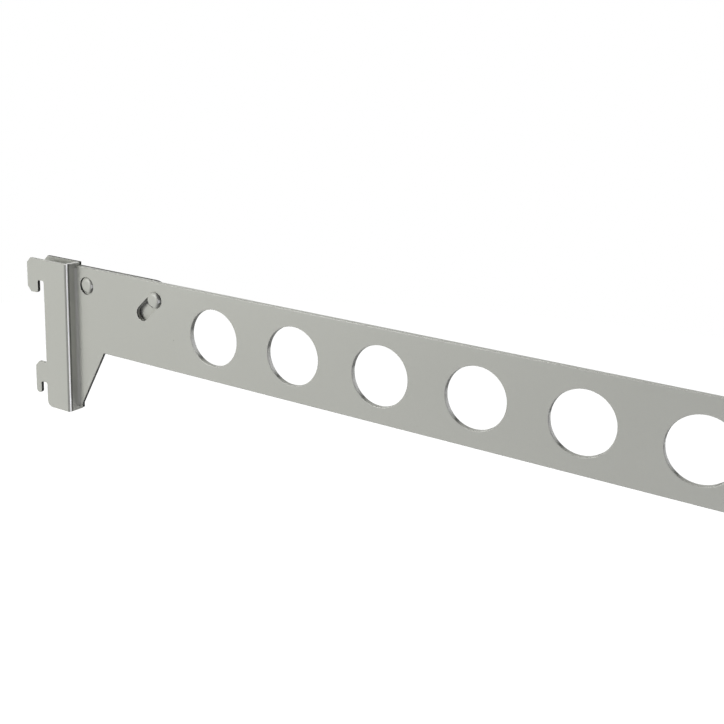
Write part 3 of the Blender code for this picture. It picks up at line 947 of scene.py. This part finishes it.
def new_group(name, inputs, outputs):
    group = bpy.data.node_groups.new(name, "ShaderNodeTree")
    for label, default in inputs.items():
        socket = group.interface.new_socket(label, in_out="INPUT", socket_type="NodeSocketFloat")
        socket.default_value = default
    for label in outputs:
        group.interface.new_socket(label, in_out="OUTPUT", socket_type="NodeSocketFloat")
    return group, group.nodes.new("NodeGroupInput"), group.nodes.new("NodeGroupOutput")


def noise(tree, size, detail):
    """Noise on the piece's own coordinates, with waves of the given size."""
    coordinates = add_node(tree, "ShaderNodeTexCoord").outputs["Object"]
    made = add_node(tree, "ShaderNodeTexNoise")
    tree.links.new(coordinates, made.inputs["Vector"])
    tree.links.new(calculate(tree, "DIVIDE", 1.0, size), made.inputs["Scale"])
    made.inputs["Detail"].default_value = detail
    return made.outputs["Fac"]


def paint_grain_group():
    """Fine waves, metal flecks and slow drifts of tone in sprayed paint."""
    sizes = {"Peel Size": PEEL_SIZE, "Fleck Size": FLECK_SIZE, "Drift Size": DRIFT_SIZE}
    group, given, result = new_group("paint_grain", sizes, ("Height", "Fleck", "Drift"))
    peel = noise(group, given.outputs["Peel Size"], detail=2)
    fleck = noise(group, given.outputs["Fleck Size"], detail=1)
    drift = noise(group, given.outputs["Drift Size"], detail=2)
    group.links.new(peel, result.inputs["Height"])
    group.links.new(remap(group, fleck, FLECK_RANGE, WHOLE_RANGE), result.inputs["Fleck"])
    group.links.new(remap(group, drift, DRIFT_RANGE, WHOLE_RANGE), result.inputs["Drift"])
    return group


def edge_wear_and_painted_light_group():
    """Dark cut edges and painted shade, painted highlights of bare metal on bends and holes, and rubbed
    rounded edges.
    """
    group, given, result = new_group("edge_wear_and_painted_light", {"Patch Size": PATCH_SIZE}, ("Cut And Shade", "Bare And Highlight"))
    patches = noise(group, given.outputs["Patch Size"], detail=3)
    marks = {}
    for name in ("cut_edge_and_shade", "rounded_edge", "painted_highlight"):
        marks[name] = add_node(group, "ShaderNodeAttribute", attribute_name=name).outputs["Fac"]
    cut_and_shade_patches = remap(group, patches, PATCH_RANGE, (CUT_AND_SHADE_LEAST, 1))
    shine = remap(group, patches, PATCH_RANGE, (SHINE_LEAST, 1))
    chafed = remap(group, patches, CHAFE_RANGE, (0, CHAFE_MOST))
    bare_and_highlight = calculate(group, "MULTIPLY", marks["painted_highlight"], shine)
    wear_and_highlight = calculate(group, "MULTIPLY", marks["rounded_edge"], chafed)
    group.links.new(calculate(group, "MULTIPLY", marks["cut_edge_and_shade"], cut_and_shade_patches), result.inputs["Cut And Shade"])
    group.links.new(calculate(group, "MAXIMUM", bare_and_highlight, wear_and_highlight), result.inputs["Bare And Highlight"])
    return group


def specks_group():
    """A few small specks, one to some cells of a scattered grid."""
    sizes = {"Spacing": SPECK_SPACING, "Speck Size": SPECK_SIZE, "Share": SPECK_SHARE}
    group, given, result = new_group("paint_specks", sizes, ("Mask",))
    coordinates = add_node(group, "ShaderNodeTexCoord").outputs["Object"]
    cells = add_node(group, "ShaderNodeTexVoronoi", feature="F1")
    group.links.new(coordinates, cells.inputs["Vector"])
    group.links.new(calculate(group, "DIVIDE", 1.0, given.outputs["Spacing"]), cells.inputs["Scale"])
    reach = calculate(group, "MULTIPLY", cells.outputs["Distance"], given.outputs["Spacing"])
    near = calculate(group, "LESS_THAN", reach, given.outputs["Speck Size"])
    draw = add_node(group, "ShaderNodeSeparateColor")
    group.links.new(cells.outputs["Color"], draw.inputs["Color"])
    chosen = calculate(group, "LESS_THAN", draw.outputs["Red"], given.outputs["Share"])
    group.links.new(calculate(group, "MULTIPLY", near, chosen), result.inputs["Mask"])
    return group


def shared_group(name, make):
    """The node group of that name, made when it is first asked for."""
    return bpy.data.node_groups.get(name) or make()


def silver_paint(name, look, face, roughness):
    """Satin silver-grey paint with faint grain and specks, dark on cut edges and in painted shade, bare in
    painted highlights and rubbed on rounded ones.
    """
    material = bpy.data.materials.new(name)
    material.use_nodes = True
    tree = material.node_tree
    shader = tree.nodes["Principled BSDF"]
    grain = add_node(tree, "ShaderNodeGroup", node_tree=shared_group("paint_grain", paint_grain_group))
    grain.inputs["Peel Size"].default_value = look.peel_size
    grain.inputs["Fleck Size"].default_value = look.fleck_size
    edges = add_node(tree, "ShaderNodeGroup", node_tree=shared_group("edge_wear_and_painted_light", edge_wear_and_painted_light_group))
    specks = add_node(tree, "ShaderNodeGroup", node_tree=shared_group("paint_specks", specks_group))
    darker = [value * (1 - look.drift) for value in face]
    tone = mix_colour(tree, grain.outputs["Drift"], darker, face)
    # Dark cut edges and painted shade, then painted highlights and rubbed edges in bare metal
    cut_edges_and_shade = mix_colour(tree, edges.outputs["Cut And Shade"], tone, look.cut)
    wear_and_highlight = mix_colour(tree, edges.outputs["Bare And Highlight"], cut_edges_and_shade, look.bare_and_highlight)
    specked = mix_colour(tree, specks.outputs["Mask"], wear_and_highlight, look.speck)
    tree.links.new(specked, shader.inputs["Base Color"])
    smoother = roughness - look.fleck_gloss
    gloss = remap(tree, grain.outputs["Fleck"], WHOLE_RANGE, (roughness, smoother))
    dull = remap(tree, edges.outputs["Cut And Shade"], WHOLE_RANGE, (0, look.cut_roughness))
    worn = remap(tree, edges.outputs["Bare And Highlight"], (0, WORN_SHARE), (0, look.bare_roughness))
    rough = calculate(tree, "MAXIMUM", gloss, calculate(tree, "MAXIMUM", dull, worn))
    tree.links.new(rough, shader.inputs["Roughness"])
    metal = remap(tree, edges.outputs["Bare And Highlight"], WHOLE_RANGE, (look.metallic, look.bare_metallic))
    tree.links.new(metal, shader.inputs["Metallic"])
    shader.inputs["Specular IOR Level"].default_value = look.specular
    bump = add_node(tree, "ShaderNodeBump")
    bump.inputs["Distance"].default_value = look.peel_depth
    tree.links.new(grain.outputs["Height"], bump.inputs["Height"])
    tree.links.new(bump.outputs["Normal"], shader.inputs["Normal"])
    return material


def paint_of(kind):
    """The paint of one group of pieces, made when it is first asked for."""
    look = bpy.context.scene.clothes_rail_paint
    name = f"{kind}_silver_paint"
    face = look.rivet if kind == "rivet" else look.face
    roughness = look.rivet_roughness if kind == "rivet" else look.roughness
    return bpy.data.materials.get(name) or silver_paint(name, look, face, roughness)


def white_to_camera(tree):
    """1 for what the camera sees directly, in gloss or through glass, and 0 for light on the object."""
    path = add_node(tree, "ShaderNodeLightPath").outputs
    direct = calculate(tree, "MAXIMUM", path["Is Camera Ray"], path["Is Glossy Ray"])
    return calculate(tree, "MAXIMUM", direct, path["Is Transmission Ray"])


def make_world(stage):
    """Dim even light on the object, and plain white behind it."""
    world = bpy.data.worlds.new("white_studio")
    bpy.context.scene.world = world
    world.use_nodes = True
    tree = world.node_tree
    ambient = tree.nodes["Background"]
    ambient.inputs["Color"].default_value = (*stage.ambient_colour, 1)
    ambient.inputs["Strength"].default_value = stage.ambient
    white = add_node(tree, "ShaderNodeBackground")
    white.inputs["Color"].default_value = (*WHITE, 1)
    choice = add_node(tree, "ShaderNodeMixShader")
    tree.links.new(white_to_camera(tree), choice.inputs["Fac"])
    tree.links.new(ambient.outputs["Background"], choice.inputs[1])
    tree.links.new(white.outputs["Background"], choice.inputs[2])
    tree.links.new(choice.outputs["Shader"], tree.nodes["World Output"].inputs["Surface"])


def floor_paint(stage):
    """Pale floor that keeps a soft shadow under the rail and runs out to white."""
    material = bpy.data.materials.new("pale_floor")
    material.use_nodes = True
    tree = material.node_tree
    shader = tree.nodes["Principled BSDF"]
    shader.inputs["Base Color"].default_value = (*stage.floor_colour, 1)
    shader.inputs["Roughness"].default_value = stage.floor_roughness
    shader.inputs["Specular IOR Level"].default_value = 0
    shader.inputs["Emission Color"].default_value = (*WHITE, 1)
    place_on_floor = add_node(tree, "ShaderNodeTexCoord").outputs["Object"]
    away = add_node(tree, "ShaderNodeVectorMath", operation="LENGTH")
    tree.links.new(place_on_floor, away.inputs[0])
    fading_out = (stage.shadow_reach, 2 * stage.shadow_reach)
    glow = remap(tree, away.outputs["Value"], fading_out, (stage.floor_glow, 1))
    seen = calculate(tree, "MULTIPLY", white_to_camera(tree), glow)
    tree.links.new(seen, shader.inputs["Emission Strength"])
    return material


def add_floor(stage):
    nothing_selected()
    bpy.ops.mesh.primitive_circle_add(vertices=FLOOR_SIDES, radius=stage.floor_radius, fill_type="NGON")
    floor = bpy.context.object
    floor.name = "pale_floor"
    floor.location = (0, 0, ANGLE_LOW.z - stage.floor_drop)
    floor.data.materials.append(floor_paint(stage))


def add_softbox(name, location, size, watts, tint):
    nothing_selected()
    aim = (LIGHT_AIM - Vector(location)).to_track_quat("-Z", "Y").to_euler()
    bpy.ops.object.light_add(type="AREA", location=location, rotation=aim)
    lamp = bpy.context.object
    lamp.name = name
    lamp.data.shape = "RECTANGLE"
    lamp.data.size, lamp.data.size_y = size
    lamp.data.energy = watts
    lamp.data.color = tint
    return lamp


def add_camera(stage):
    turn, tilt, roll = stage.camera_turn, stage.camera_tilt, stage.camera_roll
    ahead = Vector((math.sin(turn) * math.cos(tilt), math.cos(turn) * math.cos(tilt), math.sin(tilt)))
    level_right = Vector((math.cos(turn), -math.sin(turn), 0))
    level_down = ahead.cross(level_right)
    right = math.cos(roll) * level_right + math.sin(roll) * level_down
    down = math.cos(roll) * level_down - math.sin(roll) * level_right
    axes = Matrix((right, -down, -ahead)).transposed()
    nothing_selected()
    bpy.ops.object.camera_add(location=stage.camera_place, rotation=axes.to_euler())
    camera = bpy.context.object
    camera.name = "photo_camera"
    camera.data.lens = stage.camera_lens
    bpy.context.scene.camera = camera


class CLOTHESRAIL_OT_bar(Operator):
    """Model the perforated bar"""

    bl_idname = "clothes_rail.bar"
    bl_label = "Bar"

    def execute(self, context):
        bar = model_rail(context.scene.clothes_rail_rail, context.scene.clothes_rail_rivets.seat_depth)
        hand_over(bar, "rail", "rail_frame", paint_of("rail"))
        return {"FINISHED"}


class CLOTHESRAIL_OT_hook_angles(Operator):
    """Model the bent angles that carry the front hooks"""

    bl_idname = "clothes_rail.hook_angles"
    bl_label = "Hook angles"

    def execute(self, context):
        hooks = context.scene.clothes_rail_hooks
        for side, sheet in both_ends(model_hook_angle(hooks)):
            finish_hook_angle(sheet, hooks)
            hand_over(sheet, f"{side}_hook_angle", "rail_frame", paint_of("angle"))
        return {"FINISHED"}


class CLOTHESRAIL_OT_gussets(Operator):
    """Model the gussets below the bar"""

    bl_idname = "clothes_rail.gussets"
    bl_label = "Gussets"

    def execute(self, context):
        for side, gusset in both_ends(model_gusset(context.scene.clothes_rail_arms)):
            finish_gusset(gusset, context.scene.clothes_rail_hooks)
            hand_over(gusset, f"{side}_gusset", "rail_frame", paint_of("gusset"))
        return {"FINISHED"}


class CLOTHESRAIL_OT_weld_beads(Operator):
    """Model the weld beads in the corners of the webs"""

    bl_idname = "clothes_rail.weld_beads"
    bl_label = "Weld beads"

    def execute(self, context):
        for side, bead in both_ends(model_weld()):
            even_shading(bead)
            hand_over(bead, f"{side}_weld", "rail_frame", paint_of("weld"))
        return {"FINISHED"}


class CLOTHESRAIL_OT_hook_plates(Operator):
    """Model the sliding plates with the rear hooks"""

    bl_idname = "clothes_rail.hook_plates"
    bl_label = "Hook plates"

    def execute(self, context):
        scene = context.scene
        hooks = scene.clothes_rail_hooks
        left = model_hook_plate(scene.clothes_rail_rail, hooks, scene.clothes_rail_arms)
        for side, plate in both_ends(left):
            finish_hook_plate(plate, hooks)
            hand_over(plate, f"{side}_hook_plate", f"{side}_lock", paint_of("plate"))
        return {"FINISHED"}


class CLOTHESRAIL_OT_rivets(Operator):
    """Model the domed rivets, fixed in the bar at its ends and in the plates at the slots"""

    bl_idname = "clothes_rail.rivets"
    bl_label = "Rivets"

    def execute(self, context):
        rivets = context.scene.clothes_rail_rivets
        slim = rivets.guide_diameter / 2
        stout = rivets.shank_diameter / 2 - rivets.shoulder
        kinds = (
            ("end", END_RIVET, END_RIVET_HIGH.y, slim, rivets.seat_depth),
            ("slot", SLOT_RIVET, SLOT_RIVET_HIGH.y, stout, 0),
        )
        for kind, centre, rear, tenon, sunk in kinds:
            left = model_rivet(f"left_{kind}_dome", rivets, centre, rear, tenon, sunk)
            for side, rivet in both_ends(left):
                finish_rivet(rivet, rivets)
                body = "rail_frame" if kind == "end" else f"{side}_lock"
                hand_over(rivet, f"{side}_{kind}_rivet", body, paint_of("rivet"))
        return {"FINISHED"}


class CLOTHESRAIL_OT_stage(Operator):
    """Set the camera, the lights, the floor and the white background"""

    bl_idname = "clothes_rail.stage"
    bl_label = "Stage"

    def execute(self, context):
        stage = context.scene.clothes_rail_stage
        context.scene.view_settings.view_transform = "Standard"
        make_world(stage)
        add_floor(stage)
        add_camera(stage)
        add_softbox("key_softbox", stage.key_place, KEY_SIZE, stage.key, WHITE)
        add_softbox("top_softbox", stage.top_place, TOP_SIZE, stage.top, WHITE)
        add_softbox("side_strip", stage.strip_place, STRIP_SIZE, stage.strip, stage.strip_colour)
        rear = add_softbox("rear_softbox", stage.rear_place, REAR_SIZE, stage.rear, WHITE)
        # It lights the back, but would glare in the holes' walls seen from the front
        rear.visible_glossy = False
        return {"FINISHED"}


OPERATORS = (
    CLOTHESRAIL_OT_bar,
    CLOTHESRAIL_OT_hook_angles,
    CLOTHESRAIL_OT_gussets,
    CLOTHESRAIL_OT_weld_beads,
    CLOTHESRAIL_OT_hook_plates,
    CLOTHESRAIL_OT_rivets,
    CLOTHESRAIL_OT_stage,
)

SETTINGS = {
    "clothes_rail_rail": RailSizes,
    "clothes_rail_hooks": HookSizes,
    "clothes_rail_arms": ArmSizes,
    "clothes_rail_rivets": RivetSizes,
    "clothes_rail_paint": PaintLook,
    "clothes_rail_stage": StageLook,
}


class CLOTHESRAIL_PT_sidebar(Panel):
    """Lists the rail's pieces and the sizes and colours that can be changed"""

    bl_idname = "CLOTHESRAIL_PT_sidebar"
    bl_label = "Clothes Rail"
    bl_space_type = "VIEW_3D"
    bl_region_type = "UI"
    bl_category = "Clothes Rail"

    def draw(self, context):
        for operator in OPERATORS:
            self.layout.operator(operator.bl_idname)
        for name in SETTINGS:
            settings = getattr(context.scene, name)
            box = self.layout.box()
            for label in settings.bl_rna.properties.keys():
                if label not in ("rna_type", "name"):
                    box.prop(settings, label)


def register():
    for kind in (*SETTINGS.values(), *OPERATORS, CLOTHESRAIL_PT_sidebar):
        bpy.utils.register_class(kind)
    for name, kind in SETTINGS.items():
        setattr(bpy.types.Scene, name, PointerProperty(type=kind))


def unregister():
    for name in SETTINGS:
        delattr(bpy.types.Scene, name)
    for kind in (CLOTHESRAIL_PT_sidebar, *reversed(OPERATORS), *reversed(SETTINGS.values())):
        bpy.utils.unregister_class(kind)


def main():
    register()
    bpy.ops.clothes_rail.bar()
    bpy.ops.clothes_rail.hook_angles()
    bpy.ops.clothes_rail.gussets()
    bpy.ops.clothes_rail.weld_beads()
    bpy.ops.clothes_rail.hook_plates()
    bpy.ops.clothes_rail.rivets()
    bpy.ops.clothes_rail.stage()


if __name__ == "__main__":
    main()
